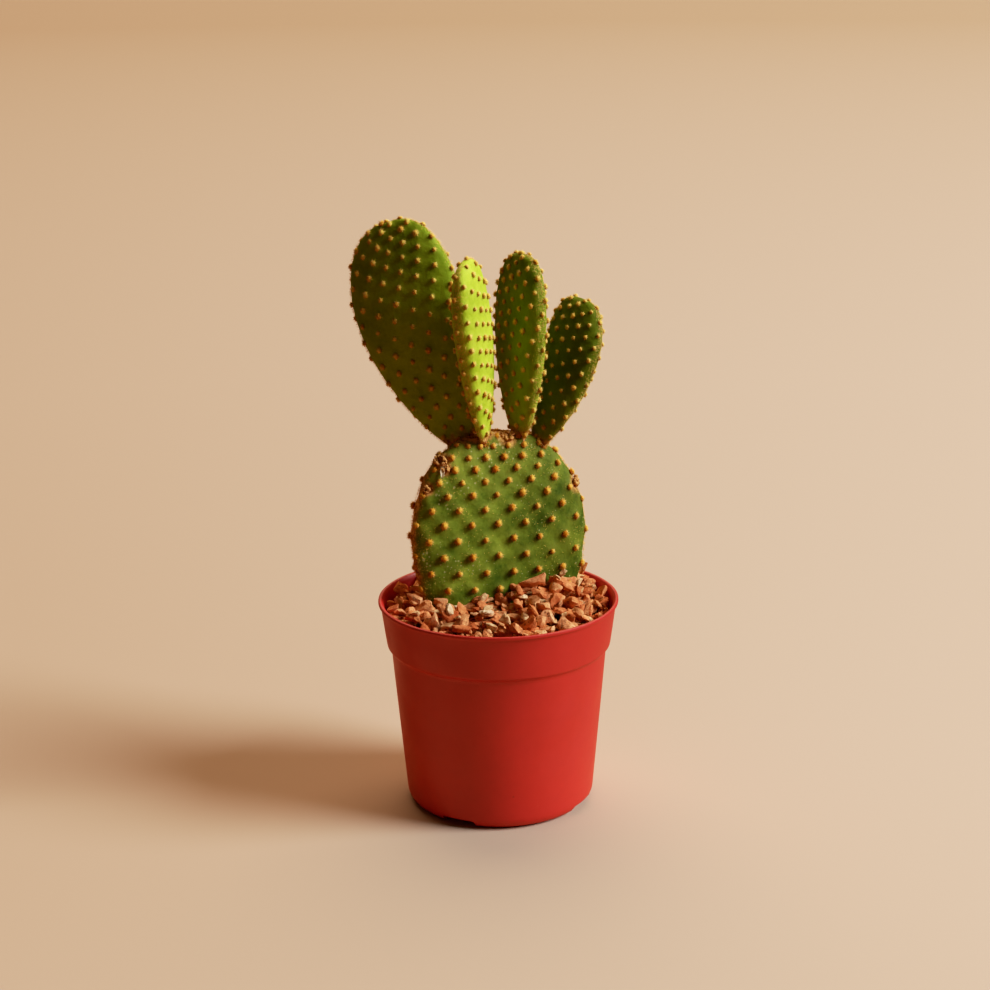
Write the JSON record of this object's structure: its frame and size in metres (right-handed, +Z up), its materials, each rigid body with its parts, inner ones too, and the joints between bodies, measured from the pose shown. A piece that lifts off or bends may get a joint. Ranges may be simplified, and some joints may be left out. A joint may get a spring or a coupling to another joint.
{
  "type": "potted bunny ears cactus",
  "caption": "Potted bunny ears cactus: an upright oval pad carries smaller flat ear-like pads dotted with golden tufts, in a round tapered plastic nursery pot topped with red-brown grit.",
  "frame": {"origin": "middle of the whole object's footprint, on the table under the pot's foot ring", "axes": "+Z up, from the pot's foot to the ears; -Y is the front, where the flat of the base pad and the largest ear face; +X is to the right in that view"},
  "size_m": [0.0652, 0.06, 0.1465],
  "materials": {
    "pot_plastic": "satin",
    "potting_soil": "matte",
    "lava_grit": "matte",
    "old_pad_skin": "satin",
    "young_pad_skin": "satin",
    "root": "matte"
  },
  "bodies": {
    "root": {"pot": "pot_plastic", "soil": "potting_soil", "gravel": "lava_grit", "base_pad": "old_pad_skin", "ear_left_large": "young_pad_skin", "ear_centre_narrow": "young_pad_skin", "ear_centre_tall": "young_pad_skin", "ear_right_small": "young_pad_skin", "roots": "root"}
  },
  "joints": []
}
